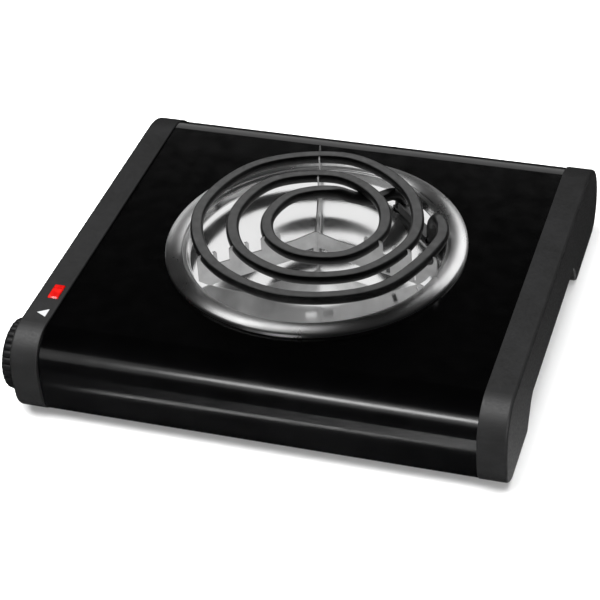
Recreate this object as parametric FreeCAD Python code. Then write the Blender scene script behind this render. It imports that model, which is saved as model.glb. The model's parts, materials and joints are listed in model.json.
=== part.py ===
"""Single-coil hot plate burner: pressed steel body between two moulded end caps,
a lift-out drip pan, a plug-in coil element and a thermostat turned by a side dial.

Millimetres, +Z up. The model is drawn about the burner's own centre, with z = 0 on the
top panel's upper face, and every node is then moved so that the origin is the middle
of the whole object's footprint, on the surface that it stands on."""
import FreeCAD
import Part
import math
import os
from FreeCAD import Vector

# ---------------------------------------------------------------- driving dimensions
BODY_WIDTH = 291.0
CAP_WIDTH = 17.0
CAP_WALL = 2.5
CAP_RISE = 1.2
FLOOR_Z = -56.5
CAP_FOOT_Z = -54.5
ARCH_Z = -36.6
SHEET = 0.8
PANEL_LOW_Z = -52.0

RING_RADIUS = 90.8
BOWL_STEP_RADIUS = 77.8
BOWL_DEPTH = 12.9
PAN_SHEET = 0.6
PANEL_HOLE_RADIUS = 84.0

COIL_TOP_Z = 17.3
TUBE_RADIUS = 3.85
TUBE_FLAT = 2.75
TURN_START_DEG = 135.0
TURN_STEP_DEG = 45.0
TURN_RADII = (33.9, 29.9, 29.6, 32.2, 38.0, 41.4, 45.3, 52.6,
              54.9, 51.0, 50.3, 52.6, 57.2, 61.0, 65.2, 74.6,
              76.6, 73.4, 70.8, 72.3, 76.4, 77.2)
INNER_LEG = (37.0, 58.0)
OUTER_LEG = (64.8, 29.2)
LEG_LOW_Z = -19.0
PAN_LEG_HOLE_RADIUS = 4.5

SUPPORT_CENTRE = (0.0, 0.0)
SEAT_CLEARANCE = 0.35
SUPPORT_ANGLES = (104.5, 221.0, 346.0)
SUPPORT_SHEET = 0.8
SUPPORT_TOP_Z = 8.0
SUPPORT_LOW_Z = -5.7
SUPPORT_PEAK_Z = 9.8
TOOTH_Z = 16.8

KNOB_Y = -107.5
KNOB_Z = -27.0
KNOB_RADIUS = 21.4
KNOB_REACH = 8.4
KNOB_GAP = 0.6
KNOB_RIBS = 30
SHAFT_RADIUS = 3.0

LENS_BOX = (-138.2, -131.2, -87.6, -74.4)
GLAND_X = -78.0
GLAND_Z = -35.0
GLAND_HALF = 5.0

# ---------------------------------------------------------------- derived places
HALF_WIDTH = BODY_WIDTH / 2
PANEL_HALF = HALF_WIDTH - CAP_WIDTH
CAP_INNER_X = HALF_WIDTH - CAP_WALL
TRAY_TOP_Z = PANEL_LOW_Z + 2 * SHEET
WIRE_Z = TRAY_TOP_Z + 1.8
COIL_AXIS_Z = COIL_TOP_Z - TUBE_FLAT
FRONT_Y = -132.6
REAR_Y = 139.3
KNOB_FACE_X = -HALF_WIDTH - KNOB_REACH
ORIGIN_SHIFT = Vector(-(KNOB_FACE_X + HALF_WIDTH) / 2, -(FRONT_Y + REAR_Y) / 2, -FLOOR_Z)
UP = Vector(0, 0, 1)


# ---------------------------------------------------------------- small tools
def box(x0, x1, y0, y1, z0, z1):
    return Part.makeBox(x1 - x0, y1 - y0, z1 - z0, Vector(x0, y0, z0))


def rod(x, y, z0, z1, radius):
    return Part.makeCylinder(radius, z1 - z0, Vector(x, y, z0), UP)


def rod_x(x0, x1, y, z, radius):
    return Part.makeCylinder(radius, x1 - x0, Vector(x0, y, z), Vector(1, 0, 0))


def rod_y(y0, y1, x, z, radius):
    return Part.makeCylinder(radius, y1 - y0, Vector(x, y0, z), Vector(0, 1, 0))


def square_y(y0, y1, x, z, half):
    return box(x - half, x + half, y0, y1, z - half, z + half)


def cut_all(shape, tools):
    for tool in tools:
        shape = shape.cut(tool)
    return shape


def fuse_all(shapes):
    whole = shapes[0]
    for shape in shapes[1:]:
        whole = whole.fuse(shape)
    return whole.removeSplitter()


def corner_arc(before, corner, after, radius):
    """The arc that rounds a corner: its first, middle and last points."""
    to_before = (before - corner).normalize()
    to_after = (after - corner).normalize()
    half = to_before.getAngle(to_after) / 2
    reach = radius / math.tan(half)
    middle = (to_before + to_after).normalize()
    centre = corner + middle * (radius / math.sin(half))
    return corner + to_before * reach, centre - middle * radius, corner + to_after * reach


def rounded_wire(corners, closed):
    """A wire through (point, radius) corners, each one rounded by its radius."""
    count = len(corners)
    arcs = []
    for i, (point, radius) in enumerate(corners):
        end = not closed and i in (0, count - 1)
        if end or radius == 0:
            arcs.append((point, None, point))
        else:
            before = corners[i - 1][0]
            after = corners[(i + 1) % count][0]
            arcs.append(corner_arc(before, point, after, radius))
    edges = []
    for i, (first, middle, last) in enumerate(arcs):
        if i > 0 and arcs[i - 1][2].distanceToPoint(first) > 1e-6:
            edges.append(Part.makeLine(arcs[i - 1][2], first))
        if middle is not None:
            edges.append(Part.Arc(first, middle, last).toShape())
    if closed:
        edges.append(Part.makeLine(arcs[-1][2], arcs[0][0]))
    return Part.Wire(edges)


def bend_radius(before, corner, after, share=0.45):
    """The largest radius that leaves each run a short straight middle."""
    run_in = corner.distanceToPoint(before)
    run_out = corner.distanceToPoint(after)
    turn = math.pi - (before - corner).getAngle(after - corner)
    return share * min(run_in, run_out) / math.tan(turn / 2)


def tube_path(points):
    corners = [(points[0], 0)]
    for before, corner, after in zip(points, points[1:], points[2:]):
        corners.append((corner, bend_radius(before, corner, after)))
    corners.append((points[-1], 0))
    return rounded_wire(corners, closed=False)


def tube(points, radius):
    path = tube_path(points)
    start = (points[1] - points[0]).normalize()
    ring = Part.Wire(Part.makeCircle(radius, points[0], start))
    return path.makePipeShell([ring], True, False)


def yz_face(corners):
    """A flat face in the plane x = 0 from ((y, z), radius) corners."""
    wire = rounded_wire([(Vector(0, y, z), r) for (y, z), r in corners], closed=True)
    return Part.Face(wire)


def yz_sheet(corners, thickness):
    """A folded sheet's section in the plane x = 0, thickened to one side."""
    wire = rounded_wire([(Vector(0, y, z), r) for (y, z), r in corners], closed=False)
    return wire.makeOffset2D(thickness, fill=True, openResult=True)


def prism_x(face, x0, x1):
    solid = face.extrude(Vector(x1 - x0, 0, 0))
    solid.translate(Vector(x0, 0, 0))
    return solid


def mirrored_x(shape):
    return shape.mirror(Vector(0, 0, 0), Vector(1, 0, 0))


# ---------------------------------------------------------------- body shells
def top_panel():
    """One sheet folded round the front and the back, open at the ends."""
    section = yz_sheet([((-106, PANEL_LOW_Z), 0), ((-128.0, PANEL_LOW_Z), 10),
                        ((-130.2, -28), 40), ((-128.8, 0), 20),
                        ((134.5, 0), 28), ((133.5, PANEL_LOW_Z), 10),
                        ((112, PANEL_LOW_Z), 0)], SHEET)
    panel = prism_x(section, -PANEL_HALF, PANEL_HALF)
    hole = rod(0, 0, -4, 4, PANEL_HOLE_RADIUS)
    gland = square_y(125, 140, GLAND_X, GLAND_Z, GLAND_HALF + 0.2)
    return cut_all(panel, [hole, gland] + [screw_hole(x, y) for x, y in BASE_SCREWS])


BASE_SCREWS = [(x, y) for x in (-95, 0, 95) for y in (-111, 117)]


def screw_hole(x, y):
    return rod(x, y, PANEL_LOW_Z - 1, PANEL_LOW_Z + 3, 1.7)


def base_tray():
    """Folded tray: floor on the panel's flanges and two upright ends."""
    floor_low = PANEL_LOW_Z + SHEET
    floor = box(-PANEL_HALF + 1, PANEL_HALF - 1, -117, 122.5, floor_low, floor_low + SHEET)
    ends = []
    for side in (-1, 1):
        outer = side * (PANEL_HALF - 1)
        inner = outer - side * SHEET
        ends.append(box(min(outer, inner), max(outer, inner), -114, 104, floor_low, -6))
    tray = fuse_all([floor] + ends)
    vents = []
    for row in range(-3, 4):
        for column in range(-3, 4):
            if abs(row) + abs(column) != 6:
                x, y = column * 22.0, row * 20.0
                vents.append(box(x - 7, x + 7, y - 2, y + 2, floor_low - 1, floor_low + 2))
    holes = [screw_hole(x, y) for x, y in BASE_SCREWS]
    holes += [rod_x(side * 130 - 8, side * 130 + 8, y, -20, 1.8) for side in (-1, 1) for y in CAP_SCREW_Y]
    holes.append(rod_x(-130, -120, KNOB_Y, KNOB_Z, 4.8))
    holes.append(rod_x(-130, -120, -78, -16, 3.5))
    holes += [rod(x, y, floor_low - 1, floor_low + 2, 1.6) for x, y in FLOOR_SCREWS]
    return cut_all(tray, vents + holes)


CAP_SCREW_Y = (-55.0, 70.0)
GROUND_SCREW = (-112.0, 88.0)
BLOCK_MID = ((INNER_LEG[0] + OUTER_LEG[0]) / 2, (INNER_LEG[1] + OUTER_LEG[1]) / 2)
BLOCK_TURN_DEG = math.degrees(math.atan2(OUTER_LEG[1] - INNER_LEG[1], OUTER_LEG[0] - INNER_LEG[0]))
LEG_SPAN = math.hypot(OUTER_LEG[0] - INNER_LEG[0], OUTER_LEG[1] - INNER_LEG[1])


def block_place(shape):
    """Moves a shape from the terminal block's own frame to its place under the pan."""
    shape.rotate(Vector(0, 0, 0), UP, BLOCK_TURN_DEG)
    shape.translate(Vector(BLOCK_MID[0], BLOCK_MID[1], 0))
    return shape


def block_point(x, y):
    turn = math.radians(BLOCK_TURN_DEG)
    return (BLOCK_MID[0] + x * math.cos(turn) - y * math.sin(turn),
            BLOCK_MID[1] + x * math.sin(turn) + y * math.cos(turn))


FLOOR_SCREWS = [GROUND_SCREW, block_point(-36, 0), block_point(36, 0)]
FLOOR_SCREWS += [(x, y) for x in (-93, 93) for y in (-70, 70)]


def cap_outline():
    return yz_face([((-100, CAP_FOOT_Z), 0), ((-130.0, CAP_FOOT_Z), 18),
                    ((-132.6, -27), 42), ((-131.2, CAP_RISE), 21),
                    ((140.0, CAP_RISE), 36), ((138.8, CAP_FOOT_Z), 17),
                    ((71, CAP_FOOT_Z), 3), ((60, ARCH_Z), 8),
                    ((-65, ARCH_Z), 9), ((-76, CAP_FOOT_Z), 3)])


FEET = [(side * (HALF_WIDTH - CAP_WIDTH / 2), y) for side in (-1, 1) for y in (-94, 98)]


def end_cap():
    """The left cap without its openings: a shell that is open towards the body."""
    face = cap_outline()
    shell = prism_x(face, -HALF_WIDTH, -PANEL_HALF)
    rim = [e for e in shell.Edges if all(abs(v.X + HALF_WIDTH) < 1e-4 for v in e.Vertexes)]
    shell = shell.makeFillet(1.8, rim)
    seam = [e for e in shell.Edges if all(abs(v.X + PANEL_HALF) < 1e-4 for v in e.Vertexes)]
    shell = shell.makeFillet(0.5, seam)
    hollow = Part.Face(face.OuterWire.makeOffset2D(-CAP_WALL))
    shell = shell.cut(prism_x(hollow, -CAP_INNER_X, -PANEL_HALF + 1))
    bosses = [rod_x(-CAP_INNER_X - 0.5, -PANEL_HALF, y, -20, 4.2) for y in CAP_SCREW_Y]
    ribs = [box(-CAP_INNER_X - 0.5, -PANEL_HALF - 4, y - 0.8, y + 0.8, -20, 0) for y in CAP_SCREW_Y]
    shell = fuse_all([shell] + bosses + ribs)
    pilots = [rod_x(-CAP_INNER_X + 1, -PANEL_HALF + 1, y, -20, 1.6) for y in CAP_SCREW_Y]
    pockets = []
    for x, y in FEET[:2]:
        pockets.append(rod(x, y, CAP_FOOT_Z - 1, CAP_FOOT_Z + 1.2, 5.8))
        pockets.append(rod(x, y, CAP_FOOT_Z - 1, CAP_FOOT_Z + 6, 1.9))
    return cut_all(shell, pilots + pockets)


def left_end_cap():
    x0, x1, y0, y1 = LENS_BOX
    window = box(x0, x1, y0, y1, -5, 5)
    shaft_hole = rod_x(-HALF_WIDTH - 1, -CAP_INNER_X + 1, KNOB_Y, KNOB_Z, SHAFT_RADIUS + 1.2)
    return cut_all(end_cap(), [window, shaft_hole, pointer_prism(CAP_RISE - 0.3)])


def right_end_cap():
    return mirrored_x(end_cap())


def pointer_prism(low):
    """The triangle beside the dial, pointing at it."""
    points = [Vector(-138.2, -102.0, low), Vector(-132.0, -98.0, low), Vector(-132.0, -105.2, low)]
    return Part.Face(Part.makePolygon(points + points[:1])).extrude(Vector(0, 0, 0.45))


def rubber_feet():
    feet = []
    for x, y in FEET:
        pad = rod(x, y, FLOOR_Z, CAP_FOOT_Z + 1.2, 5.6)
        stem = rod(x, y, CAP_FOOT_Z + 1, CAP_FOOT_Z + 3.6, 1.8)
        barb = Part.makeCone(2.6, 1.2, 2.0, Vector(x, y, CAP_FOOT_Z + 2.7), UP)
        feet.append(fuse_all([pad, stem, barb]))
    return Part.makeCompound(feet)


# ---------------------------------------------------------------- indicator
def indicator_lens():
    x0, x1, y0, y1 = LENS_BOX
    body = box(x0 + 0.2, x1 - 0.2, y0 + 0.2, y1 - 0.2, CAP_RISE - 3.6, CAP_RISE + 0.7)
    top = [e for e in body.Edges if all(v.Z > CAP_RISE + 0.6 for v in e.Vertexes)]
    body = body.makeFillet(0.6, top)
    flange = box(x0 - 1.5, x1 + 1.0, y0 - 1.5, y1 + 1.5, CAP_RISE - 3.6, CAP_RISE - 2.6)
    hollow = box(x0 + 1.5, x1 - 1.5, y0 + 1.5, y1 - 1.5, CAP_RISE - 4, CAP_RISE - 0.8)
    return body.fuse(flange).cut(hollow).removeSplitter()


LAMP_X = (LENS_BOX[0] + LENS_BOX[1]) / 2


def indicator_lamp():
    bulb = rod_y(-86, -76, LAMP_X, -5.2, 2.0)
    tip = Part.makeSphere(2.0, Vector(LAMP_X, -86, -5.2))
    return fuse_all([bulb, tip])


def lamp_holder():
    """Moulded cradle that the neon lamp lies in."""
    cradle = box(LAMP_X - 4, LAMP_X + 4, -87, -72.5, -9.5, -5.6)
    trough = rod_y(-90, -70, LAMP_X, -5.2, 2.3)
    foot = box(-CAP_INNER_X, LAMP_X - 3.9, -84, -76, -9.5, -7.0)
    return cradle.cut(trough).fuse(foot).removeSplitter()


def lamp_leads():
    leads = []
    for offset in (-0.9, 0.9):
        points = [Vector(LAMP_X + offset, -75.9, -5.2 + offset / 2), Vector(LAMP_X + offset, -71.0, -5.5),
                  Vector(-131.5, -72.0, -14 + offset), Vector(-127.5, -78.0, -16.0 + offset * 1.4),
                  Vector(-122.0, -82.0, -16.0 + offset * 1.4), Vector(-119.0, -88.0, -14.5 + offset * 1.4)]
        leads.append(tube(points, 0.6))
    return Part.makeCompound(leads)


def pointer_mark():
    return pointer_prism(CAP_RISE - 0.3)


# ---------------------------------------------------------------- thermostat and dial
FRAME_X = -PANEL_HALF + 1 + SHEET


def thermostat_frame():
    plate = box(FRAME_X, FRAME_X + 1.2, -121, -88, -39, -13)
    return plate.cut(rod_x(-130, -115, KNOB_Y, KNOB_Z, 4.55))


def thermostat_bushing():
    barrel = rod_x(FRAME_X - 7.5, FRAME_X + 1.2, KNOB_Y, KNOB_Z, 4.5)
    collar = rod_x(FRAME_X + 1.2, FRAME_X + 3.0, KNOB_Y, KNOB_Z, 6.2)
    bore = rod_x(FRAME_X - 9, FRAME_X + 5, KNOB_Y, KNOB_Z, SHAFT_RADIUS + 0.05)
    return barrel.fuse(collar).cut(bore).removeSplitter()


def thermostat_nut():
    points = [Vector(0, 7.0 * math.cos(math.radians(60 * i)), 7.0 * math.sin(math.radians(60 * i)))
              for i in range(7)]
    nut = Part.Face(Part.makePolygon(points)).extrude(Vector(3, 0, 0))
    nut.translate(Vector(FRAME_X - SHEET - 3, KNOB_Y, KNOB_Z))
    return nut.cut(rod_x(-140, -120, KNOB_Y, KNOB_Z, 4.52))


STACK_Y = (-96.5, -89.0)
STACK_Z = (-35.0, -19.0)
SPACER_X = [(FRAME_X + 1.2, -119.6), (-118.8, -113.4), (-112.6, -107.2)]


def thermostat_insulators():
    spacers = []
    for x0, x1 in SPACER_X:
        spacers.append(box(x0, x1, STACK_Y[0], STACK_Y[1], STACK_Z[0], STACK_Z[1]))
    return cut_all(Part.makeCompound(spacers), [rod_x(-130, -100, -92.75, -27, 1.7)])


def thermostat_blade(x, y0, z0, z1, tab_y):
    strip = box(x, x + 0.8, y0, STACK_Y[1], z0, z1)
    tab = box(x, x + 0.8, STACK_Y[1], tab_y, -30, -24)
    return strip.fuse(tab).cut(rod_x(-130, -100, -92.75, -27, 1.7)).removeSplitter()


def contact_blade():
    return thermostat_blade(-119.6, -118, -31, -23, -79)


def fixed_contact_blade():
    return thermostat_blade(-113.4, -118, -31, -23, -79)


def bimetal_strip():
    strip = box(-107.2, -106.2, -124, STACK_Y[1], -32, -22)
    return strip.cut(rod_x(-110, -100, -92.75, -27, 1.7))


def thermostat_contacts():
    pair = [rod_x(-118.8, -117.0, -114.5, -27, 2.2), rod_x(-115.2, -113.4, -114.5, -27, 2.2)]
    return Part.makeCompound(pair)


def stack_rivet():
    shank = rod_x(FRAME_X + 1.2, -105.2, -92.75, -27, 1.6)
    return shank.fuse(rod_x(-106.2, -104.8, -92.75, -27, 3.0)).removeSplitter()


def control_shaft():
    shaft = rod_x(KNOB_FACE_X + 2.5, FRAME_X + 3.6, KNOB_Y, KNOB_Z, SHAFT_RADIUS)
    flat = box(KNOB_FACE_X, -HALF_WIDTH + 1.0, KNOB_Y - 4, KNOB_Y + 4, KNOB_Z + 2.0, KNOB_Z + 5)
    return shaft.cut(flat)


def control_cam():
    """A stepped disc on the end of the shaft that presses the contact blade."""
    disc = rod_x(FRAME_X + 3.6, FRAME_X + 4.6, KNOB_Y, KNOB_Z, 6.0)
    return disc.fuse(rod_x(FRAME_X + 4.6, FRAME_X + 5.0, KNOB_Y, KNOB_Z, 2.0)).removeSplitter()


def control_knob():
    """Thumb-wheel dial with a fluted rim and a dished face."""
    inner = -HALF_WIDTH - KNOB_GAP
    disc = rod_x(KNOB_FACE_X, inner, KNOB_Y, KNOB_Z, KNOB_RADIUS - 0.9)
    face_rim = [e for e in disc.Edges if all(abs(v.X - KNOB_FACE_X) < 1e-4 for v in e.Vertexes)]
    disc = disc.makeFillet(2.4, [e for e in face_rim if e.Curve.TypeId == "Part::GeomCircle"])
    dish = rod_x(KNOB_FACE_X - 1, KNOB_FACE_X + 1.0, KNOB_Y, KNOB_Z, KNOB_RADIUS - 5.5)
    socket = rod_x(KNOB_FACE_X + 2.5, inner + 1, KNOB_Y, KNOB_Z, SHAFT_RADIUS)
    relief = rod_x(inner - 4.5, inner + 1, KNOB_Y, KNOB_Z, KNOB_RADIUS - 3.4)
    relief = relief.cut(rod_x(inner - 6, inner + 2, KNOB_Y, KNOB_Z, 6.5))
    ribs = []
    for i in range(KNOB_RIBS):
        angle = 2 * math.pi * i / KNOB_RIBS
        y = KNOB_Y + (KNOB_RADIUS - 1.3) * math.cos(angle)
        z = KNOB_Z + (KNOB_RADIUS - 1.3) * math.sin(angle)
        ribs.append(rod_x(KNOB_FACE_X + 2.0, inner - 0.8, y, z, 1.3))
    knob = fuse_all([disc] + ribs)
    key = box(KNOB_FACE_X + 2.5, inner + 1, KNOB_Y - 4, KNOB_Y + 4, KNOB_Z + 2.0, KNOB_Z + 5)
    return cut_all(knob, [dish, socket.cut(key), relief]).removeSplitter()


# ---------------------------------------------------------------- drip pan
def drip_pan():
    """Pressed bowl with a rolled ring that rests on the panel."""
    step = BOWL_STEP_RADIUS
    corners = [((RING_RADIUS, 0.3), 0), ((RING_RADIUS - 0.9, 2.7), 1.8),
               ((RING_RADIUS - 6.0, 3.5), 9.0), ((step + 1.0, 1.2), 0.8), ((step, -0.6), 0.5),
               ((step - 1.3, -4.8), 1.4), ((47.0, -BOWL_DEPTH), 25), ((0.0, -BOWL_DEPTH), 0)]
    wire = rounded_wire([(Vector(x, 0, z), r) for (x, z), r in corners], closed=False)
    section = wire.makeOffset2D(PAN_SHEET, fill=True, openResult=True)
    pan = section.revolve(Vector(0, 0, 0), UP, 360)
    holes = [rod(x, y, -30, 5, PAN_LEG_HOLE_RADIUS) for x, y in (INNER_LEG, OUTER_LEG)]
    return cut_all(pan, holes)


# ---------------------------------------------------------------- coil element
def turn_radius(step):
    """The spiral's radius at a number of eighth turns, smooth between the listed ones."""
    index = min(int(step), len(TURN_RADII) - 2)
    part = step - index
    before = TURN_RADII[max(index - 1, 0)]
    here, there = TURN_RADII[index], TURN_RADII[index + 1]
    after = TURN_RADII[min(index + 2, len(TURN_RADII) - 1)]
    curve = 3 * (here - there) + after - before
    bend = 2 * before - 5 * here + 4 * there - after
    return here + 0.5 * part * (there - before + part * (bend + part * curve))


# The bent tube runs this much inside the corners of its path.
BEND_DRAW = math.cos(math.radians(TURN_STEP_DEG / 4))


def coil_points():
    x, y = INNER_LEG
    points = [Vector(x, y, LEG_LOW_Z), Vector(x, y, COIL_AXIS_Z - 9.0), Vector(23.0, 44.5, COIL_AXIS_Z - 8.4),
              Vector(13.0, 38.8, COIL_AXIS_Z - 4.6), Vector(3.0, 37.6, COIL_AXIS_Z - 0.8),
              Vector(-10.5, 33.6, COIL_AXIS_Z)]
    halves = 2 * (len(TURN_RADII) - 1)
    for i in range(halves + 1):
        radius = turn_radius(i / 2)
        angle = math.radians(TURN_START_DEG + TURN_STEP_DEG * i / 2)
        points.append(Vector(radius * math.cos(angle), radius * math.sin(angle), COIL_AXIS_Z))
    x, y = OUTER_LEG
    points += [Vector(x + 7.6, y - 15.0, COIL_AXIS_Z), Vector(x, y, COIL_AXIS_Z - 0.6),
               Vector(x, y, LEG_LOW_Z)]
    return points


def coil_element():
    coil = tube(coil_points(), TUBE_RADIUS)
    above = box(-120, 120, -120, 120, COIL_TOP_Z, COIL_TOP_Z + 10)
    return coil.cut(above)


def terminal_beads():
    return Part.makeCompound([rod(x, y, LEG_LOW_Z - 3.5, LEG_LOW_Z, 3.3) for x, y in (INNER_LEG, OUTER_LEG)])


def terminal_pins():
    pins = []
    for x, y in (INNER_LEG, OUTER_LEG):
        shank = rod(x, y, LEG_LOW_Z - 14, LEG_LOW_Z - 3.5, 1.6)
        point = Part.makeCone(0.8, 1.6, 1.2, Vector(x, y, LEG_LOW_Z - 15.2), UP)
        pins.append(shank.fuse(point).removeSplitter())
    return Part.makeCompound(pins)


def lead_clamp():
    """Strap that holds the two legs of the coil apart, just above the bowl."""
    half = LEG_SPAN / 2
    strap = box(-half, half, -5.5, 1.5, -3.4, -2.4)
    lip = box(-half + 6, half - 6, -5.5, -4.5, -3.4, 2.6)
    boss = rod(0, -1.4, -2.5, 0.0, 2.6)
    legs = [rod(x, 0, -8, 4, TUBE_RADIUS + 0.05) for x in (-half, half)]
    return block_place(cut_all(fuse_all([strap, lip, boss]), legs))


def crossing_radii(angle_deg):
    """The turns' radii where a support leg passes under them."""
    radii = []
    turn = (angle_deg - TURN_START_DEG) % 360
    while turn / TURN_STEP_DEG <= len(TURN_RADII) - 1:
        radii.append(turn_radius(turn / TURN_STEP_DEG) * BEND_DRAW)
        turn += 360
    return radii


def leg_profile(angle_deg, reach, windows):
    """One support leg as a plate in its own x-z plane, x running outwards."""
    turns = crossing_radii(angle_deg)
    end = turns[-1] + TUBE_RADIUS + 2.4 + reach
    if end > 77.0:
        foot = [(74.6, -1.0), (76.9, 2.4), (end, 2.4 + 0.24 * (end - 76.9))]
    else:
        foot = [(end, -0.8)]
    leg = plate_xz([(0.4, SUPPORT_LOW_Z), (70.0, SUPPORT_LOW_Z)] + foot
                   + [(end, SUPPORT_TOP_Z), (14.0, SUPPORT_TOP_Z), (0.4, SUPPORT_PEAK_Z)])
    for radius in turns:
        near, far = radius - TUBE_RADIUS - 2.4, radius + TUBE_RADIUS + 2.4
        if radius == turns[-1]:
            far = end
        leg = leg.fuse(plate_xz([(near, SUPPORT_TOP_Z - 0.5), (far, SUPPORT_TOP_Z - 0.5), (far, TOOTH_Z - 1.2),
                                 (far - 0.9, TOOTH_Z), (near + 0.9, TOOTH_Z), (near, TOOTH_Z - 1.2)]))
    for radius in turns:
        groove = Part.makeCylinder(TUBE_RADIUS + SEAT_CLEARANCE, 4, Vector(radius, -2, COIL_AXIS_Z), Vector(0, 1, 0))
        mouth = box(radius - 3.2, radius + 3.2, -2, 2, COIL_AXIS_Z, TOOTH_Z + 1)
        leg = leg.cut(groove).cut(mouth)
    slots = [(1.8, 8.0, -4.2, -1.4)]
    if windows:
        slots += [(near + 8.0, far - 8.0, -4.4, 0.2) for near, far in zip(turns, turns[1:])]
    leg = cut_all(leg, [box(x0, x1, -2, 2, z0, z1) for x0, x1, z0, z1 in slots])
    claw = plate_xz([(66.0, SUPPORT_LOW_Z + 0.2), (66.8, SUPPORT_LOW_Z - 0.25), (68.6, SUPPORT_LOW_Z - 0.25),
                     (69.4, SUPPORT_LOW_Z + 0.2)])
    return leg.fuse(claw).removeSplitter()


def plate_xz(points):
    half = SUPPORT_SHEET / 2
    corners = [Vector(x, -half, z) for x, z in points]
    return Part.Face(Part.makePolygon(corners + corners[:1])).extrude(Vector(0, SUPPORT_SHEET, 0))


def placed_leg(angle_deg, reach=0.0, windows=False):
    leg = leg_profile(angle_deg, reach, windows)
    leg.rotate(Vector(0, 0, 0), UP, angle_deg)
    leg.translate(Vector(SUPPORT_CENTRE[0], SUPPORT_CENTRE[1], 0))
    return leg


def support_front():
    """One strip bent into a V: the two front legs."""
    x, y = SUPPORT_CENTRE
    spine = rod(x, y, SUPPORT_LOW_Z, SUPPORT_PEAK_Z, 0.9)
    return fuse_all([placed_leg(SUPPORT_ANGLES[1]), spine, placed_leg(SUPPORT_ANGLES[2], windows=True)])


def support_back():
    x, y = SUPPORT_CENTRE
    return placed_leg(SUPPORT_ANGLES[0], reach=3.6).cut(rod(x, y, -30, 30, 1.0))


# ---------------------------------------------------------------- terminals under the pan
BLOCK_TOP_Z = -24.5
BLOCK_LOW_Z = -37.0


def terminal_block():
    half = LEG_SPAN / 2
    block = box(-half - 7, half + 7, -8, 8, BLOCK_LOW_Z, BLOCK_TOP_Z)
    for x in (-half, half):
        block = block.cut(rod(x, 0, BLOCK_LOW_Z + 1.5, BLOCK_TOP_Z + 1, 3.0))
        block = block.cut(box(x - 2.2, x + 2.2, -9, 9, BLOCK_LOW_Z + 3.4, BLOCK_LOW_Z + 7.4))
    block = block.cut(box(-6, 6, -9, 9, BLOCK_TOP_Z - 5, BLOCK_TOP_Z + 1))
    return block_place(block)


def terminal_clips():
    """A spring leaf beside each pin, with a tail out of the block."""
    clips = []
    for x in (-LEG_SPAN / 2, LEG_SPAN / 2):
        leaf = box(x - 2.0, x + 2.0, 1.9, 2.3, BLOCK_LOW_Z + 3.6, BLOCK_TOP_Z - 1.5)
        leaf = leaf.common(rod(x, 0, -60, 0, 2.9))
        tail = box(x - 1.6, x + 1.6, 1.9, 13.0, BLOCK_LOW_Z + 3.6, BLOCK_LOW_Z + 4.4)
        clips.append(leaf.fuse(tail).removeSplitter())
    return block_place(Part.makeCompound(clips))


def terminal_bracket():
    """Folded strap that holds the block off the base."""
    floor = TRAY_TOP_Z
    half = LEG_SPAN / 2 + 7.2
    strap = [box(-half - 14, -half, -6, 6, floor, floor + 1), box(half, half + 14, -6, 6, floor, floor + 1)]
    strap += [box(-half - 1, -half, -6, 6, floor, BLOCK_LOW_Z), box(half, half + 1, -6, 6, floor, BLOCK_LOW_Z)]
    strap += [box(-half - 1, half + 1, -6, 6, BLOCK_LOW_Z - 1, BLOCK_LOW_Z)]
    strap += [box(-half - 1, -half, -6, 6, BLOCK_LOW_Z, BLOCK_LOW_Z + 7)]
    strap += [box(half, half + 1, -6, 6, BLOCK_LOW_Z, BLOCK_LOW_Z + 7)]
    bracket = fuse_all(strap)
    return block_place(cut_all(bracket, [rod(x, 0, floor - 1, floor + 2, 1.7) for x in (-36, 36)]))


def heat_shield():
    """Flat reflector under the bowl on four bent legs, open round the terminal block."""
    floor = TRAY_TOP_Z
    top = -28.0
    plate = box(-86, 86, -86, 86, top - SHEET, top)
    half = LEG_SPAN / 2
    window = block_place(box(-half - 10, half + 10, -12, 16, top - 3, top + 3))
    plate = plate.cut(window)
    legs = []
    for side in (-1, 1):
        for y in (-70, 70):
            out = side * 86
            legs.append(box(min(out, out - side * SHEET), max(out, out - side * SHEET), y - 8, y + 8, floor, top))
            legs.append(box(min(out - side * SHEET, out + side * 12), max(out - side * SHEET, out + side * 12),
                            y - 8, y + 8, floor, floor + SHEET))
    shield = fuse_all([plate] + legs)
    return cut_all(shield, [rod(x, y, floor - 1, floor + 2, 1.7) for x in (-93, 93) for y in (-70, 70)])


# ---------------------------------------------------------------- fasteners and wiring
def pan_head(x, y, z, down, length, shank=1.5):
    """A round-headed screw standing on z; its shank runs down or up."""
    sign = -1 if down else 1
    head = Part.makeCylinder(3.0, 1.6, Vector(x, y, z), Vector(0, 0, -sign))
    stem = Part.makeCylinder(shank, length, Vector(x, y, z), Vector(0, 0, sign))
    slot = box(x - 0.4, x + 0.4, y - 4, y + 4, z + (0.9 if down else -1.7), z + (1.7 if down else -0.9))
    return head.fuse(stem).cut(slot).removeSplitter()


def base_screws():
    return Part.makeCompound([pan_head(x, y, PANEL_LOW_Z, False, 4.0) for x, y in BASE_SCREWS])


def floor_screws():
    screws = [pan_head(x, y, TRAY_TOP_Z + 1.0, True, 3.6) for x, y in (block_point(-36, 0), block_point(36, 0))]
    screws += [pan_head(x, y, TRAY_TOP_Z + SHEET, True, 3.6) for x in (-93, 93) for y in (-70, 70)]
    return Part.makeCompound(screws)


def ground_screw():
    return pan_head(GROUND_SCREW[0], GROUND_SCREW[1], TRAY_TOP_Z + 0.9, True, 3.6)


def cap_screws():
    screws = []
    inner = PANEL_HALF - 1 - SHEET
    for y in CAP_SCREW_Y:
        head = rod_x(inner - 1.6, inner, y, -20, 3.2)
        stem = rod_x(inner, inner + 12, y, -20, 1.5)
        screw = head.fuse(stem).removeSplitter()
        screws += [screw, mirrored_x(screw)]
    return Part.makeCompound(screws)


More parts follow.
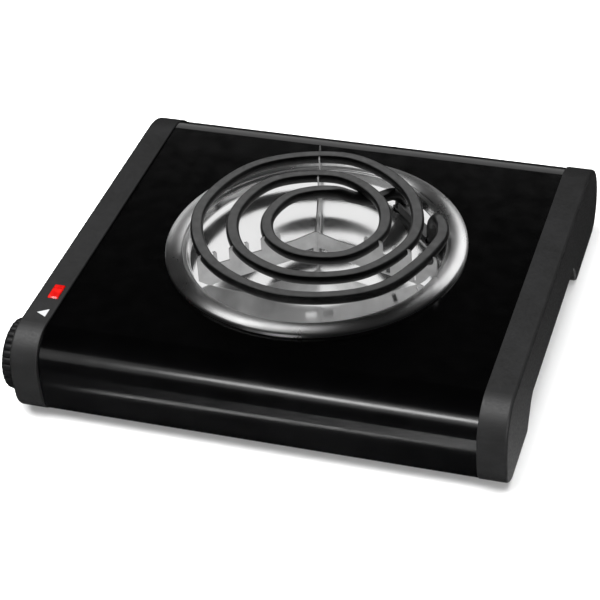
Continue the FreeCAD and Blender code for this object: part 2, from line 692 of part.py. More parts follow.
def cord_gland():
    """Bushing snapped into the back of the panel, where a mains lead comes out; its square barrel can't turn."""
    collar = rod_y(134.0, 137.0, GLAND_X, GLAND_Z, 8.2)
    barrel = square_y(124.0, 134.1, GLAND_X, GLAND_Z, GLAND_HALF)
    lip = square_y(130.4, 132.4, GLAND_X, GLAND_Z, GLAND_HALF + 0.8)
    bore = rod_y(120, 140, GLAND_X, GLAND_Z, 3.8)
    return fuse_all([collar, barrel, lip]).cut(bore)


def lead(points, radius=1.3):
    return tube([Vector(*p) for p in points], radius)


def line_lead():
    return lead([(GLAND_X - 1.8, 118.5, GLAND_Z), (-84, 106, -39), (-99, 92, -45), (-105, 62, WIRE_Z),
                 (-102, 12, WIRE_Z), (-104, -32, WIRE_Z), (-107, -54, -43), (-112, -66, -31),
                 (-113, -72, -27), (-113, -78.9, -27)])


def load_lead():
    near = block_point(-LEG_SPAN / 2, 19.0)
    end = block_point(-LEG_SPAN / 2, 13.15)
    z = BLOCK_LOW_Z + 4.0
    return lead([(-119.2, -78.9, -27), (-119.2, -71, -27), (-119.4, -56, -31), (-116, -36, -37),
                 (-100, -18, -42), (-76, -6, -46), (-40, 8, WIRE_Z), (-8, 34, WIRE_Z), (12, 64, -45),
                 (28, 78, -38), (near[0] - 3, near[1] + 5, z + 0.4), (near[0], near[1], z), (end[0], end[1], z)])


def neutral_lead():
    near = block_point(LEG_SPAN / 2, 19.0)
    end = block_point(LEG_SPAN / 2, 13.15)
    z = BLOCK_LOW_Z + 4.0
    return lead([(GLAND_X + 1.8, 118.5, GLAND_Z), (-66, 108, -38), (-40, 103, -45), (0, 101, WIRE_Z),
                 (45, 95, WIRE_Z), (76, 78, -46), (84, 57, -40), (near[0] + 4, near[1] + 6, z + 0.4),
                 (near[0], near[1], z), (end[0], end[1], z)])


def ground_lead():
    return lead([(GLAND_X, 118.5, GLAND_Z - 2.2), (-85, 111, -43), (-97, 105, WIRE_Z + 0.6), (-107, 97, WIRE_Z),
                 (-110.0, 91.8, WIRE_Z)], 1.1)


def ground_ring():
    x, y = GROUND_SCREW
    ring = rod(x, y, TRAY_TOP_Z, TRAY_TOP_Z + 0.9, 3.6)
    return ring.cut(rod(x, y, TRAY_TOP_Z - 5, TRAY_TOP_Z + 5, 1.7))


NODES = {
    "top_panel": top_panel, "base_tray": base_tray,
    "left_end_cap": left_end_cap, "right_end_cap": right_end_cap, "rubber_feet": rubber_feet,
    "indicator_lens": indicator_lens, "indicator_lamp": indicator_lamp, "lamp_holder": lamp_holder,
    "lamp_leads": lamp_leads, "pointer_mark": pointer_mark,
    "thermostat_frame": thermostat_frame, "thermostat_bushing": thermostat_bushing,
    "thermostat_nut": thermostat_nut, "thermostat_insulators": thermostat_insulators,
    "contact_blade": contact_blade, "fixed_contact_blade": fixed_contact_blade,
    "bimetal_strip": bimetal_strip, "thermostat_contacts": thermostat_contacts,
    "stack_rivet": stack_rivet, "control_shaft": control_shaft, "control_cam": control_cam,
    "control_knob": control_knob, "drip_pan": drip_pan, "coil_element": coil_element,
    "terminal_beads": terminal_beads, "terminal_pins": terminal_pins, "lead_clamp": lead_clamp,
    "support_front": support_front, "support_back": support_back,
    "terminal_block": terminal_block, "terminal_clips": terminal_clips,
    "terminal_bracket": terminal_bracket, "heat_shield": heat_shield,
    "base_screws": base_screws, "floor_screws": floor_screws, "ground_screw": ground_screw,
    "cap_screws": cap_screws, "cord_gland": cord_gland, "line_lead": line_lead,
    "load_lead": load_lead, "neutral_lead": neutral_lead, "ground_lead": ground_lead,
    "ground_ring": ground_ring,
}

os.makedirs("parts", exist_ok=True)
for node, make in NODES.items():
    shape = make()
    shape.translate(ORIGIN_SHIFT)
    print("%-22s valid %s solids %d volume %.1f mm3" % (node, shape.isValid(), len(shape.Solids), shape.Volume))
    shape.exportStep("parts/%s.step" % node)
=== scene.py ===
import json
import math
import bmesh
import bpy
from mathutils import Matrix, Vector


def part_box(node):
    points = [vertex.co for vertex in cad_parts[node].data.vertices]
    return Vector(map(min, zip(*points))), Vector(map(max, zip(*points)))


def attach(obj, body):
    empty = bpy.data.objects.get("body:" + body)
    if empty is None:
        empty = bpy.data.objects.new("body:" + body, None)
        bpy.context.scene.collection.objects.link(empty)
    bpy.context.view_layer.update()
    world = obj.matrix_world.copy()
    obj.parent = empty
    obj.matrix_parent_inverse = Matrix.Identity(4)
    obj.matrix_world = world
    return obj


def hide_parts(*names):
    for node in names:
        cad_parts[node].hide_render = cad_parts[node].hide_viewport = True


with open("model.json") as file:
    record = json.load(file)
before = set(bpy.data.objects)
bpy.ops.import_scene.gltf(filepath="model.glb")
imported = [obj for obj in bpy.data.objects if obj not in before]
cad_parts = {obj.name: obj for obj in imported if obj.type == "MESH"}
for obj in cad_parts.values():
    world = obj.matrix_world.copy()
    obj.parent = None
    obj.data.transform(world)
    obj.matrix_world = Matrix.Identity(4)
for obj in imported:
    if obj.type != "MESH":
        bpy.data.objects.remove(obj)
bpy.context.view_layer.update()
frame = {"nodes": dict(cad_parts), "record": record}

nodes = frame["nodes"]
scene = bpy.context.scene
scene.view_settings.view_transform = "Standard"
MM = 0.001

# The burner's own centre, on the panel's upper face: lengths below are in mm from there.
pan_low, pan_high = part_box("drip_pan")
CENTRE = Vector(((pan_low.x + pan_high.x) / 2, (pan_low.y + pan_high.y) / 2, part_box("top_panel")[1].z))

RING = 90.8
STEP = 77.8
BOWL_LOW = -12.35
BOWL_FLAT = 47.0
BOWL_SLOPE = 0.285
BOWL_BLEND = 1.6
PAN_SHEET = 0.6
LEGS = ((37.0, 58.0), (64.8, 29.2))
LEG_HOLE = 4.9


def place(x, y, z):
    return CENTRE + Vector((x, y, z)) * MM


# ------------------------------------------------------------------ materials
def link(tree, a, b):
    tree.links.new(a, b)


def material(name, base, rough, **sockets):
    """A Principled material, with its constant values set on the shader's own sockets."""
    mat = bpy.data.materials.new(name)
    mat.use_nodes = True
    bsdf = mat.node_tree.nodes["Principled BSDF"]
    bsdf.inputs["Base Color"].default_value = (*base, 1)
    bsdf.inputs["Roughness"].default_value = rough
    for key, value in sockets.items():
        bsdf.inputs[key.replace("_", " ")].default_value = value
    return mat


def noise(mat, scale, detail=3.0, stretch=(1, 1, 1)):
    """A noise texture in metres, stretched along the axes."""
    tree = mat.node_tree
    where = tree.nodes.new("ShaderNodeTexCoord")
    shape = tree.nodes.new("ShaderNodeMapping")
    shape.inputs["Scale"].default_value = stretch
    tex = tree.nodes.new("ShaderNodeTexNoise")
    tex.inputs["Scale"].default_value = scale
    tex.inputs["Detail"].default_value = detail
    link(tree, where.outputs["Object"], shape.inputs["Vector"])
    link(tree, shape.outputs["Vector"], tex.inputs["Vector"])
    return tex.outputs["Fac"]


def rings(mat, centre, scale):
    """Concentric turned lines about the burner's own axis."""
    tree = mat.node_tree
    where = tree.nodes.new("ShaderNodeTexCoord")
    shape = tree.nodes.new("ShaderNodeMapping")
    shape.inputs["Location"].default_value = (-centre.x, -centre.y, 0)
    shape.inputs["Scale"].default_value = (1, 1, 0)
    wave = tree.nodes.new("ShaderNodeTexWave")
    wave.wave_type = "RINGS"
    wave.rings_direction = "SPHERICAL"
    wave.inputs["Scale"].default_value = scale
    wave.inputs["Distortion"].default_value = 1.5
    wave.inputs["Detail"].default_value = 2.0
    link(tree, where.outputs["Object"], shape.inputs["Vector"])
    link(tree, shape.outputs["Vector"], wave.inputs["Vector"])
    return wave.outputs["Fac"]


def vary(mat, factor, socket, low, high):
    """Drives a socket between two values, or two colours, by a texture."""
    tree = mat.node_tree
    bsdf = tree.nodes["Principled BSDF"]
    if isinstance(low, tuple):
        ramp = tree.nodes.new("ShaderNodeValToRGB")
        ramp.color_ramp.elements[0].position = 0.3
        ramp.color_ramp.elements[1].position = 0.7
        ramp.color_ramp.elements[0].color = (*low, 1)
        ramp.color_ramp.elements[1].color = (*high, 1)
        link(tree, factor, ramp.inputs["Fac"])
        link(tree, ramp.outputs["Color"], bsdf.inputs[socket])
    else:
        spread = tree.nodes.new("ShaderNodeMapRange")
        spread.inputs["From Min"].default_value = 0.25
        spread.inputs["From Max"].default_value = 0.75
        spread.inputs["To Min"].default_value = low
        spread.inputs["To Max"].default_value = high
        link(tree, factor, spread.inputs["Value"])
        link(tree, spread.outputs["Result"], bsdf.inputs[socket])


def emboss(mat, factor, depth, strength=1.0):
    """Adds a bump of a depth in metres, on top of any earlier one."""
    tree = mat.node_tree
    bsdf = tree.nodes["Principled BSDF"]
    bump = tree.nodes.new("ShaderNodeBump")
    bump.inputs["Distance"].default_value = depth
    bump.inputs["Strength"].default_value = strength
    link(tree, factor, bump.inputs["Height"])
    earlier = bsdf.inputs["Normal"].links
    if earlier:
        link(tree, earlier[0].from_socket, bump.inputs["Normal"])
    link(tree, bump.outputs["Normal"], bsdf.inputs["Normal"])


def make_materials():
    m = {}
    mat = m["enamel"] = material("enamel", (0.002, 0.002, 0.0022), 0.16, Specular_IOR_Level=0.5)
    vary(mat, noise(mat, 40), "Base Color", (0.0012, 0.0012, 0.0014), (0.003, 0.003, 0.0033))
    vary(mat, noise(mat, 90, 5), "Roughness", 0.13, 0.19)
    emboss(mat, noise(mat, 300, 1), 0.00001)

    mat = m["cap_plastic"] = material("cap_plastic", (0.016, 0.016, 0.016), 0.5, Specular_IOR_Level=0.35)
    vary(mat, noise(mat, 60), "Base Color", (0.014, 0.014, 0.014), (0.019, 0.019, 0.0195))
    vary(mat, noise(mat, 700, 2), "Roughness", 0.42, 0.6)
    emboss(mat, noise(mat, 1600, 2), 0.00007, 0.6)

    mat = m["knob_plastic"] = material("knob_plastic", (0.008, 0.008, 0.0085), 0.42, Specular_IOR_Level=0.14)
    vary(mat, noise(mat, 120), "Base Color", (0.006, 0.006, 0.0065), (0.011, 0.011, 0.0115))
    emboss(mat, noise(mat, 1500, 2), 0.00005, 0.5)

    mat = m["chrome"] = material("chrome", (0.92, 0.92, 0.92), 0.1, Metallic=1.0)
    vary(mat, noise(mat, 60, 4), "Roughness", 0.09, 0.14)
    vary(mat, noise(mat, 25, 3), "Base Color", (0.89, 0.89, 0.89), (0.94, 0.94, 0.94))
    emboss(mat, rings(mat, CENTRE, 300), 0.000008, 0.4)

    mat = m["chrome_ring"] = material("chrome_ring", (0.92, 0.92, 0.92), 0.3, Metallic=1.0, Anisotropic=0.9,
                                      Anisotropic_Rotation=0.25)
    turning = mat.node_tree.nodes.new("ShaderNodeTangent")
    turning.direction_type = "RADIAL"
    turning.axis = "Z"
    link(mat.node_tree, turning.outputs["Tangent"], mat.node_tree.nodes["Principled BSDF"].inputs["Tangent"])
    vary(mat, noise(mat, 60, 4), "Roughness", 0.26, 0.33)
    vary(mat, noise(mat, 25, 3), "Base Color", (0.88, 0.88, 0.88), (0.94, 0.94, 0.94))
    emboss(mat, rings(mat, CENTRE, 500), 0.000006, 0.4)

    mat = m["bright_steel"] = material("bright_steel", (0.66, 0.66, 0.66), 0.4, Metallic=1.0)
    vary(mat, noise(mat, 90, 4), "Base Color", (0.54, 0.54, 0.54), (0.72, 0.72, 0.72))
    vary(mat, noise(mat, 260, 3), "Roughness", 0.34, 0.5)
    emboss(mat, noise(mat, 1100, 2), 0.00002, 0.4)

    mat = m["sheath"] = material("sheath", (0.03, 0.03, 0.03), 0.4, Specular_IOR_Level=0.5)
    vary(mat, noise(mat, 110, 4), "Base Color", (0.012, 0.012, 0.012), (0.03, 0.03, 0.03))
    vary(mat, noise(mat, 260, 3), "Roughness", 0.36, 0.5)
    emboss(mat, noise(mat, 1500, 3), 0.00006, 0.5)

    mat = m["lens_red"] = material("lens_red", (0.75, 0.01, 0.008), 0.2, Specular_IOR_Level=0.6,
                                   Coat_Weight=0.4)
    vary(mat, noise(mat, 200, 2), "Base Color", (0.62, 0.006, 0.005), (0.86, 0.02, 0.015))
    emboss(mat, noise(mat, 500, 1), 0.00004, 0.4)

    mat = m["white_print"] = material("white_print", (0.75, 0.76, 0.77), 0.5)
    vary(mat, noise(mat, 900, 3), "Base Color", (0.62, 0.63, 0.64), (0.82, 0.83, 0.84))

    mat = m["rubber"] = material("rubber", (0.015, 0.015, 0.015), 0.75)
    vary(mat, noise(mat, 400), "Roughness", 0.65, 0.85)
    emboss(mat, noise(mat, 1200), 0.00008, 0.6)

    mat = m["tray_steel"] = material("tray_steel", (0.012, 0.012, 0.013), 0.4)
    vary(mat, noise(mat, 200), "Roughness", 0.32, 0.5)
    emboss(mat, noise(mat, 700), 0.00003, 0.4)

    plain = (
        ("zinc_steel", (0.50, 0.50, 0.47), 0.35, 1.0, 150),
        ("aluminised", (0.66, 0.66, 0.66), 0.4, 1.0, 80),
        ("copper_alloy", (0.72, 0.50, 0.22), 0.3, 1.0, 150),
        ("contact_metal", (0.85, 0.84, 0.80), 0.2, 1.0, 300),
        ("bimetal", (0.42, 0.38, 0.34), 0.35, 1.0, 200),
        ("insulator", (0.66, 0.62, 0.54), 0.7, 0.0, 200),
        ("gland_plastic", (0.02, 0.02, 0.02), 0.5, 0.0, 400),
        ("wire_black", (0.02, 0.02, 0.02), 0.45, 0.0, 300),
        ("wire_white", (0.62, 0.61, 0.58), 0.45, 0.0, 300),
        ("wire_green", (0.03, 0.22, 0.06), 0.45, 0.0, 300),
        ("lamp_glass", (0.75, 0.40, 0.25), 0.1, 0.0, 200),
    )
    for name, base, rough, metal, scale in plain:
        mat = m[name] = material(name, base, rough, Metallic=metal)
        darker = tuple(0.8 * part for part in base)
        lighter = tuple(min(1.1 * part, 1) for part in base)
        vary(mat, noise(mat, scale, 4), "Base Color", darker, lighter)
        vary(mat, noise(mat, 3 * scale, 3), "Roughness", rough * 0.8, min(rough * 1.2, 1))
        emboss(mat, noise(mat, 6 * scale, 2), 0.00003, 0.4)
    return m


MATERIALS = make_materials()
for entry in frame["record"]["subparts"]:
    target = nodes[entry["node"]].data.materials
    target.clear()
    target.append(MATERIALS[entry["material_slot"]])


# ------------------------------------------------------------------ mesh tools
def arc_corner(before, corner, after, radius, step):
    """Points along the arc that rounds a 2-D corner."""
    tip = Vector(corner)
    back, ahead = (Vector(before) - tip).normalized(), (Vector(after) - tip).normalized()
    half = back.angle(ahead) / 2
    centre = tip + (back + ahead).normalized() * (radius / math.sin(half))
    first, last = tip + back * radius / math.tan(half), tip + ahead * radius / math.tan(half)
    start = math.atan2(first.y - centre.y, first.x - centre.x)
    turn = math.atan2(last.y - centre.y, last.x - centre.x) - start
    turn = (turn + math.pi) % (2 * math.pi) - math.pi
    count = max(2, math.ceil(abs(math.degrees(turn)) / step))
    angles = [start + turn * i / count for i in range(count + 1)]
    return [(centre.x + radius * math.cos(angle), centre.y + radius * math.sin(angle)) for angle in angles]


def outline(corners, step):
    """A 2-D line through (point, radius) corners, with its arcs in steps of so many degrees."""
    points = []
    for i, (point, radius) in enumerate(corners):
        if radius == 0:
            points.append(point)
        else:
            points += arc_corner(corners[i - 1][0], point, corners[i + 1][0], radius, step)
    return points


def build(name, rows, mat, body, close_rows=False, sharp=35):
    """A mesh from rings of points, in mm about the burner's centre, with its two ends closed or joined up."""
    count = len(rows[0])
    verts = [place(*p) for row in rows for p in row]
    faces = []
    for i in range(len(rows) if close_rows else len(rows) - 1):
        j = (i + 1) % len(rows)
        for k in range(count):
            beside = (k + 1) % count
            faces.append((i * count + k, i * count + beside, j * count + beside, j * count + k))
    if not close_rows:
        faces.append(tuple(range(count)))
        faces.append(tuple((len(rows) - 1) * count + k for k in reversed(range(count))))
    mesh = bpy.data.meshes.new(name)
    mesh.from_pydata(verts, [], faces)
    return settle(name, mesh, mat, body, sharp)


def settle(name, mesh, mat, body, sharp):
    """Cleans a mesh, shades it, gives it its material and body."""
    work = bmesh.new()
    work.from_mesh(mesh)
    bmesh.ops.remove_doubles(work, verts=work.verts, dist=1e-7)
    bmesh.ops.recalc_face_normals(work, faces=work.faces)
    work.to_mesh(mesh)
    work.free()
    mesh.shade_smooth()
    mesh.set_sharp_from_angle(angle=math.radians(sharp))
    obj = bpy.data.objects.new(name, mesh)
    scene.collection.objects.link(obj)
    mesh.materials.append(MATERIALS[mat])
    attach(obj, body)
    return obj


def cut(obj, tools, sharp):
    """Cuts tool objects out of a piece for good, and removes the tools."""
    for tool in tools:
        modifier = obj.modifiers.new("cut", "BOOLEAN")
        modifier.operation = "DIFFERENCE"
        modifier.solver = "EXACT"
        modifier.object = tool
    view = bpy.context.evaluated_depsgraph_get()
    view.update()
    mesh = bpy.data.meshes.new_from_object(obj.evaluated_get(view))
    obj.modifiers.clear()
    obj.data = mesh
    mesh.shade_smooth()
    mesh.set_sharp_from_angle(angle=math.radians(sharp))
    for tool in tools:
        bpy.data.objects.remove(tool)


def tool_rod(x, y, low, high, radius, sides=48):
    """An upright rod to cut with."""
    angles = [2 * math.pi * k / sides for k in range(sides)]
    rows = [[(x + radius * math.cos(angle), y + radius * math.sin(angle), z) for angle in angles]
            for z in (low, high)]
    return build("tool", rows, "chrome", "pan")


# ------------------------------------------------------------------ drip pan
def drip_pan():
    """Shallow cone with a flat middle, and a crowned ring with fine turned steps at its inner edge."""
    middle, height, crown_radius = RING - 6.4, -8.6, 12.5
    tilts = [math.radians(tilt) for tilt in range(27, -19, -3)]
    crown = [((middle + crown_radius * math.sin(tilt), height + crown_radius * math.cos(tilt)), 0)
             for tilt in tilts]
    edge = STEP - 2.2
    bowl = []
    for r in [edge * (1 - i / 40) for i in range(40)] + [0.01]:
        rise = BOWL_SLOPE * (r - BOWL_FLAT)
        bowl.append(((r, BOWL_LOW + 0.5 * (rise + math.hypot(rise, BOWL_BLEND))), 0))
    upper = outline([((RING - 0.05, 0.5), 0), ((RING - 0.25, 1.9), 0.6)] + crown + [
                     ((STEP + 2.2, 2.9), 0.4), ((STEP + 1.9, 1.95), 0.15),
                     ((STEP + 1.3, 1.7), 0.2), ((STEP + 0.95, 1.25), 0.15), ((STEP + 0.35, 1.15), 0.3),
                     ((STEP - 0.2, -0.15), 0.4), ((STEP - 1.4, -3.9), 0.9)] + bowl, step=3)
    lower = [(r - 0.02 if i == 0 else r, z - PAN_SHEET) for i, (r, z) in enumerate(upper)]
    hem = [(RING, 0.35), (RING - 0.15, 0.05), (RING - 0.6, 0.0)]
    joint = min(range(len(upper)), key=lambda k: abs(upper[k][0] - STEP))
    rim = upper[:joint + 1] + lower[joint:0:-1] + [(RING - 0.9, 0.4)] + hem[::-1]
    dish = upper[joint:] + lower[:joint - 1:-1]
    turned("drip_pan_ring", rim, "chrome_ring")
    inner = turned("drip_pan_bowl", dish, "chrome")
    cut(inner, [tool_rod(x, y, -30, 5, LEG_HOLE) for x, y in LEGS], sharp=40)


def turned(name, section, finish, around=288):
    """A closed section in radius and height, turned about the burner's axis."""
    rows = []
    for k in range(around):
        angle = 2 * math.pi * k / around
        rows.append([(r * math.cos(angle), r * math.sin(angle), z) for r, z in section])
    piece = build(name, rows, finish, "pan", close_rows=True, sharp=40)
    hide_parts("drip_pan")
    return piece


# ------------------------------------------------------------------ coil
COIL_TOP = 17.0
TUBE = 3.85
FLAT = 2.75
AXIS = COIL_TOP - FLAT
LEG_LOW = -19.0
TURN_START = 135
TURN_STEP = 45
TURN_SCALE = 0.985
TURNS = (33.9, 29.9, 29.6, 32.2, 38.0, 41.4, 45.3, 52.6, 54.9, 51.0, 50.3, 52.6, 57.2, 61.0, 65.2, 74.6,
         76.6, 73.4, 70.8, 72.3, 76.4, 77.2)


def coil_line():
    """The sheath's centre line: a smooth curve that follows the CAD tube's closely."""
    (ax, ay), (bx, by) = LEGS
    points = [(ax, ay, LEG_LOW), (ax, ay, -8), (ax, ay, 1.0), (33.4, 54.6, 5.4), (23.0, 44.5, 6.6),
              (13.0, 39.4, 9.9), (3.0, 37.4, 13.4), (-10.5, 33.6, AXIS)]
    for i, r in enumerate(TURNS):
        angle = math.radians(TURN_START + TURN_STEP * i)
        points.append((r * TURN_SCALE * math.cos(angle), r * TURN_SCALE * math.sin(angle), AXIS))
    points += [(74.2, 14.4, AXIS - 0.1), (68.4, 25.0, AXIS - 2.4), (bx, by, AXIS - 10), (bx, by, -8),
               (bx, by, LEG_LOW)]
    return [Vector(point) for point in points]


def smooth_line(points, steps):
    """A centripetal Catmull-Rom curve through the points."""
    ends = [2 * points[0] - points[1]] + points + [2 * points[-1] - points[-2]]
    line = []
    for p0, p1, p2, p3 in zip(ends, ends[1:], ends[2:], ends[3:]):
        t1 = (p1 - p0).length ** 0.5
        t2 = t1 + (p2 - p1).length ** 0.5
        t3 = t2 + (p3 - p2).length ** 0.5
        for i in range(steps):
            t = t1 + (t2 - t1) * i / steps
            a1 = p0 * ((t1 - t) / t1) + p1 * (t / t1)
            a2 = p1 * ((t2 - t) / (t2 - t1)) + p2 * ((t - t1) / (t2 - t1))
            a3 = p2 * ((t3 - t) / (t3 - t2)) + p3 * ((t - t2) / (t3 - t2))
            b1 = a1 * ((t2 - t) / t2) + a2 * (t / t2)
            b2 = a2 * ((t3 - t) / (t3 - t1)) + a3 * ((t - t1) / (t3 - t1))
            line.append(b1 * ((t2 - t) / (t2 - t1)) + b2 * ((t - t1) / (t2 - t1)))
    line.append(points[-1])
    return line


def coil():
    """Sheath swept along the spiral: a round tube pressed flat on top, whose flat fades out on the legs."""
    line = smooth_line(coil_line(), 12)
    sides = 40
    rows = []
    for i, here in enumerate(line):
        ahead = (line[min(i + 1, len(line) - 1)] - line[max(i - 1, 0)]).normalized()
        across = ahead.cross(Vector((0, 0, 1)))
        if across.length < 0.35:
            upright = Vector((here.y, -here.x, 0)) * (1 if i < len(line) / 2 else -1)
            across = upright - ahead * upright.dot(ahead)
        across.normalize()
        over = across.cross(ahead).normalized()
        level = max(0.0, 1 - abs(ahead.z) * 4)
        top = TUBE + (FLAT - TUBE) * level
        ring = []
        soft = 0.35 * level
        for k in range(sides):
            angle = 2 * math.pi * k / sides
            u, v = TUBE * math.cos(angle), TUBE * math.sin(angle)
            if soft > 0.01 and v > top - soft:
                v = top - soft * math.exp(-(v - top + soft) / soft)
            ring.append(tuple(here + across * u + over * v))
        rows.append(ring)
    piece = build("coil_sheath", rows, "sheath", "element", sharp=50)
    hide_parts("coil_element")


# ------------------------------------------------------------------ dial
def dial():
    """Fluted thumb wheel: broad rounded ribs that fade into a domed rim, with a dished face.

    Each section point is a place along the axis, a radius and how deep the ribs are there."""
    low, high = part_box("control_knob")
    middle = (low + high) / 2 - CENTRE
    cy, cz = middle.y / MM, middle.z / MM
    x_face, x_back = (low.x - CENTRE.x) / MM, (high.x - CENTRE.x) / MM
    radius = (high.y - low.y) / 2 / MM
    ribs, per = 30, 12
    section = [(x_back, 7.0, 0), (x_back, radius - 4.0, 0), (x_back, radius - 1.6, 0),
               (x_back - 0.5, radius - 1.1, 0.2), (x_back - 1.0, radius - 1.0, 0.9),
               (x_back - 2.0, radius - 1.0, 1.0), (x_face + 2.4, radius - 1.0, 1.0),
               (x_face + 1.5, radius - 1.25, 0.95), (x_face + 0.8, radius - 1.8, 0.7),
               (x_face + 0.3, radius - 2.7, 0.3), (x_face, radius - 3.8, 0), (x_face, radius - 4.9, 0),
               (x_face + 0.2, radius - 5.4, 0), (x_face + 0.75, radius - 6.2, 0),
               (x_face + 1.0, radius - 8.0, 0), (x_face + 1.0, 1.2, 0), (x_face + 1.0, 0.01, 0)]
    rows = []
    for x, r, depth in section:
        ring = []
        for k in range(ribs * per):
            angle = 2 * math.pi * k / (ribs * per)
            wave = abs(math.cos(ribs * angle / 2)) ** 0.6
            reach = r + depth * (wave - 0.35 * depth)
            ring.append((x, cy + reach * math.cos(angle), cz + reach * math.sin(angle)))
        rows.append(ring)
    piece = build("dial_wheel", rows, "knob_plastic", "dial", sharp=60)
    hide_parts("control_knob")


# ------------------------------------------------------------------ lens
def lens():
    """Red lens with a raised front part, a parting groove and bevelled sides."""
    low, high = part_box("indicator_lens")
    x0, x1 = (low.x - CENTRE.x) / MM + 1.7, (high.x - CENTRE.x) / MM - 1.2
    y0, y1 = (low.y - CENTRE.y) / MM + 1.7, (high.y - CENTRE.y) / MM - 1.7
    z1 = (high.z - CENTRE.z) / MM
    z0 = z1 - 3.2
    rear = y0 + 0.70 * (y1 - y0)
    profile = [(y0, z0), (y0, z1 - 0.9), (y0 + 0.9, z1 - 0.1), (y0 + 1.5, z1), (rear - 0.35, z1),
               (rear - 0.2, z1 - 0.55), (rear + 0.2, z1 - 0.55), (rear + 0.35, z1 - 0.05),
               (y1 - 0.7, z1 - 0.05), (y1, z1 - 0.8), (y1, z0)]
    rows = []
    for x, drop in ((x0, 0.55), (x0 + 0.25, 0.18), (x0 + 0.6, 0.0),
                    (x1 - 0.6, 0.0), (x1 - 0.25, 0.18), (x1, 0.55)):
        rows.append([(x, y, z - (drop if z > z0 + 1 else 0)) for y, z in profile])
    piece = build("lens_moulding", rows, "lens_red", "body", sharp=25)
    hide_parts("indicator_lens")


drip_pan()
coil()
dial()
lens()


# ------------------------------------------------------------------ stage, light and camera
def stage_floor():
    """A white floor, under lights that reach nothing else."""
    mesh = bpy.data.meshes.new("floor")
    mesh.from_pydata([(-6, -6, 0), (6, -6, 0), (6, 6, 0), (-6, 6, 0)], [], [(0, 1, 2, 3)])
    floor = bpy.data.objects.new("floor", mesh)
    scene.collection.objects.link(floor)
    mat = material("floor", (0.93, 0.93, 0.93), 0.9, Specular_IOR_Level=0.0)
    mesh.materials.append(mat)
    floor.visible_glossy = False
    floor.visible_shadow = False
    return floor


def gather(name, members, exclude=False):
    """A light-linking collection: the light reaches only these objects, or all but these."""
    group = bpy.data.collections.new(name)
    for obj in members:
        group.objects.link(obj)
    if exclude:
        for item in group.collection_objects:
            item.light_linking.link_state = "EXCLUDE"
    return group


def softbox(name, at, towards, size, power, receivers):
    """A rectangular light, sized in metres and linked to a collection of receivers."""
    light = bpy.data.lights.new(name, "AREA")
    light.shape = "RECTANGLE"
    light.size, light.size_y = size
    light.energy = power
    obj = bpy.data.objects.new(name, light)
    obj.location = at
    obj.rotation_euler = (Vector(towards) - Vector(at)).to_track_quat("-Z", "Y").to_euler()
    scene.collection.objects.link(obj)
    obj.light_linking.receiver_collection = receivers
    return obj


def sky():
    """White to the camera, and nearly black to everything else."""
    world = bpy.data.worlds.new("studio")
    scene.world = world
    world.use_nodes = True
    tree = world.node_tree
    tree.nodes.clear()
    out = tree.nodes.new("ShaderNodeOutputWorld")
    around = tree.nodes.new("ShaderNodeBackground")
    around.inputs["Color"].default_value = (0.012, 0.012, 0.012, 1)
    pale = tree.nodes.new("ShaderNodeBackground")
    pale.inputs["Color"].default_value = (1, 1, 1, 1)
    path = tree.nodes.new("ShaderNodeLightPath")
    choose = tree.nodes.new("ShaderNodeMixShader")
    link(tree, path.outputs["Is Camera Ray"], choose.inputs["Fac"])
    link(tree, around.outputs["Background"], choose.inputs[1])
    link(tree, pale.outputs["Background"], choose.inputs[2])
    link(tree, choose.outputs["Shader"], out.inputs["Surface"])


CAMERA_AT = (311.6, -928.85, 698.1)
CAMERA_TURN = 19.24
CAMERA_DOWN = 37.02
CAMERA_ROLL = -3.69
FOCAL_LENGTH = 120.44


def camera():
    """The photograph's view: from the right front and above, with a slight roll."""
    azimuth, elevation, roll = (math.radians(angle) for angle in (CAMERA_TURN, CAMERA_DOWN, CAMERA_ROLL))
    forward = Vector((-math.sin(azimuth) * math.cos(elevation), math.cos(azimuth) * math.cos(elevation),
                      -math.sin(elevation)))
    level = Vector((math.cos(azimuth), math.sin(azimuth), 0))
    over = level.cross(forward)
    right = math.cos(roll) * level + math.sin(roll) * over
    up = -math.sin(roll) * level + math.cos(roll) * over
    lens = bpy.data.cameras.new("camera")
    lens.sensor_width = 36
    lens.lens = FOCAL_LENGTH
    lens.clip_start = 0.01
    lens.clip_end = 50
    obj = bpy.data.objects.new("camera", lens)
    obj.matrix_world = Matrix.Translation(place(*CAMERA_AT)) @ Matrix(
        (right, up, -forward)).transposed().to_4x4()
    scene.collection.objects.link(obj)
    scene.camera = obj


def screen(name, azimuth, elevation, width, height, level, receivers, away=1.6):
    """A lit screen facing the burner, by its compass place (0 is behind, 90 right) and spread in degrees."""
    az, el = math.radians(azimuth), math.radians(elevation)
    middle = place(0, 0, 0)
    at = middle + away * Vector((math.sin(az) * math.cos(el), math.cos(az) * math.cos(el), math.sin(el)))
    size = [2 * away * math.tan(math.radians(spread / 2)) for spread in (width, height)]
    return softbox(name, at, middle, size, 4 * level * size[0] * size[1], receivers)


floor = stage_floor()
sky()
camera()


def wearing(name):
    """Every mesh object that has this material."""
    meshes = [obj for obj in bpy.data.objects if obj.type == "MESH"]
    return [obj for obj in meshes if MATERIALS[name].name in obj.data.materials]


enamel = wearing("enamel")
rim = wearing("chrome_ring")
bowl = wearing("chrome")
supports = [obj for obj in wearing("bright_steel") if obj != nodes["lead_clamp"]]
sheath = wearing("sheath")
only_enamel = gather("only_enamel", enamel)
only_rim = gather("only_rim", rim)
only_bowl = gather("only_bowl", bowl)
only_steel = gather("only_steel", supports)
only_coil = gather("only_coil", sheath)
only_floor = gather("only_floor", [floor])
caps = gather("caps", [nodes["left_end_cap"], nodes["right_end_cap"]])
right_cap = gather("right_cap", [nodes["right_end_cap"]])
general = gather("general", enamel + rim + bowl + supports + sheath, exclude=True)

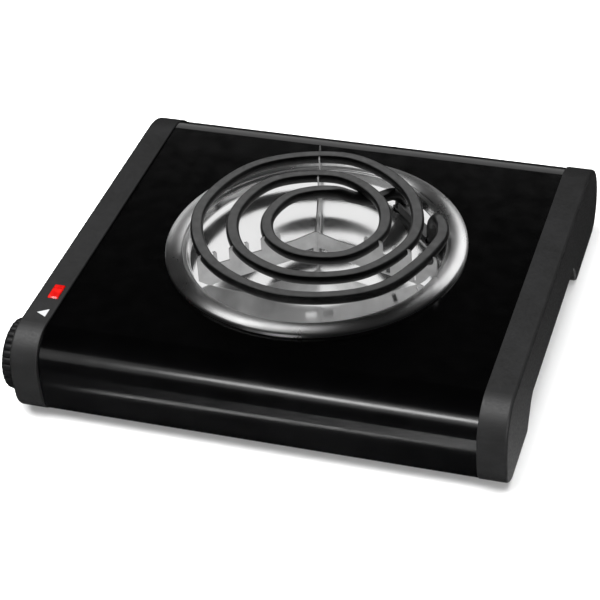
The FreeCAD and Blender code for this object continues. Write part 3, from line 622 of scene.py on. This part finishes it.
# plastics and small parts, with low screens for the caps, and the floor
aim = (0, 0, 0.05)
softbox("key", (-0.5, -0.3, 1.7), aim, (1.6, 1.6), 50, general)
softbox("fill", (1.5, -1.1, 0.7), aim, (0.9, 0.9), 12, general)
screen("cap_side", 118, 4, 26, 14, 1.6, caps)
screen("cap_nose", 160, 62, 40, 12, 1.6, caps)
screen("cap_low", 14, -54, 34, 20, 1.4, right_cap)
softbox("wash", (0, 0, 2.4), (0, 0, 0), (3.0, 3.0), 85, only_floor)
softbox("wash_even", (0, 0, 2.4), (0, 0, 0), (3.0, 3.0), 95, only_floor).data.use_shadow = False

# the bowl: an even white tent, so that only the coil and its support show dark in it
TENT = 3.4
TENT_SIDE = 1.5
TENT_POWER = 2.72
softbox("tent_top", (0, 0, 1.6), (0, 0, 0), (TENT, TENT), TENT_POWER * TENT * TENT, only_bowl)
for x, y in ((0, 1), (0, -1), (1, 0), (-1, 0)):
    softbox("tent_side", (x * TENT / 2, y * TENT / 2, 0.85), (0, 0, 0.85), (TENT, TENT_SIDE),
            TENT_POWER * TENT * TENT_SIDE, only_bowl)

# the ring: its finish smears light across it, so each screen shows as a bright stretch of it
for name, azimuth, elevation, width, height, level in (
        ("ring_right", 17, 34, 36, 28, 1.0), ("ring_left_high", -50, 61, 30, 14, 1.7),
        ("ring_left_low", -38, 15, 16, 16, 0.7), ("ring_rear", -26, 18, 8, 14, 0.7),
        ("ring_line", 0, 5, 80, 4, 0.3)):
    screen(name, azimuth, elevation, width, height, level, only_rim)

# the supports: upright leaves, which show what is below them, so two screens shine up through the body
screen("steel_left", -140, 35, 60, 60, 1.1, only_steel)
screen("steel_right", 130, 40, 50, 50, 0.4, only_steel)
screen("steel_top", 0, 80, 60, 60, 0.5, only_steel)
screen("steel_low_right", 118, -28, 50, 46, 1.5, only_steel).data.use_shadow = False
screen("steel_low_left", -132, -28, 50, 46, 1.1, only_steel).data.use_shadow = False

# the coil: a soft light from behind and above, so that its flat top is pale and its sides are dark
screen("coil_top", -19, 37, 70, 26, 1.9, only_coil)
screen("coil_side", 60, 30, 30, 20, 0.5, only_coil)

# the enamel: a low screen behind, and strips for the folded front
screen("rear_glow", -2, 15, 112, 26, 0.6, only_enamel)
for name, width, power in (("nose_a", 0.20, 1.3), ("nose_b", 0.34, 2.2), ("nose_c", 0.50, 2.6)):
    softbox(name, (-0.20, -1.25, 0.64), (0.03, -0.13, 0.05), (width, 0.16), power, only_enamel)
softbox("nose_halo", (-0.31, -1.25, 0.62), (0, -0.13, 0.05), (1.0, 0.7), 1.5, only_enamel)
softbox("low_line", (-0.17, -0.74, -0.48), (0.04, -0.13, 0.032), (0.42, 0.02), 0.28, only_enamel)
